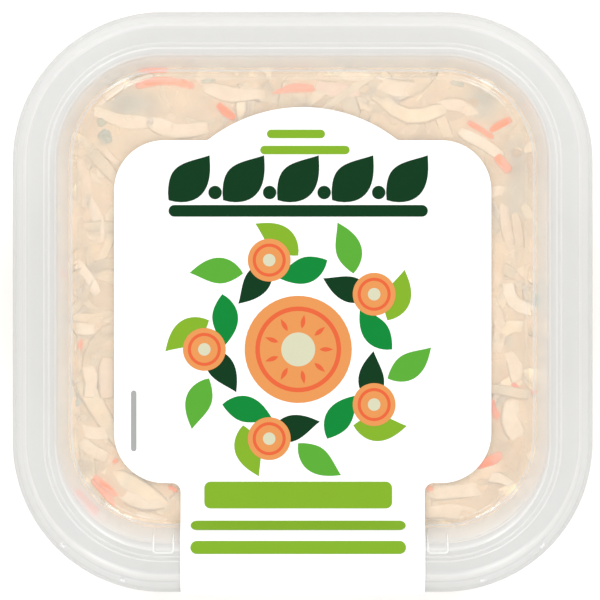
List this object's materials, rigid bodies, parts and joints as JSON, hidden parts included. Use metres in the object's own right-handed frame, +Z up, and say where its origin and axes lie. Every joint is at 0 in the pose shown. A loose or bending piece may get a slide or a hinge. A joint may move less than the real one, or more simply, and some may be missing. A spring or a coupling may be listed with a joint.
{
  "type": "tub of coleslaw",
  "caption": "Shut square deli tub of coleslaw with round corners, a clear press-on lid with a sunk plate, and a die-cut paper label that runs over the front rim as a seal.",
  "frame": {"origin": "middle of the box's underside, on the surface the tub stands on", "axes": "+Z up out of the lid, +Y towards the label's rounded crown, -Y the side that the label's tongue runs over"},
  "size_m": [0.13, 0.1305, 0.0525],
  "materials": {
    "clear_plastic": "clear, faintly milky moulded plastic with a soft gloss",
    "label_paper": "coated white paper, satin, printed with plain shapes in greens and oranges",
    "cabbage": "shredded white cabbage in a pale creamy dressing, moist",
    "carrot": "moist orange carrot sticks veiled by dressing",
    "label_ink": "printing ink on coated paper, satin"
  },
  "bodies": {
    "root": {"tub": "clear_plastic", "lid": "clear_plastic", "label": "label_paper", "slaw": "cabbage"}
  },
  "joints": []
}
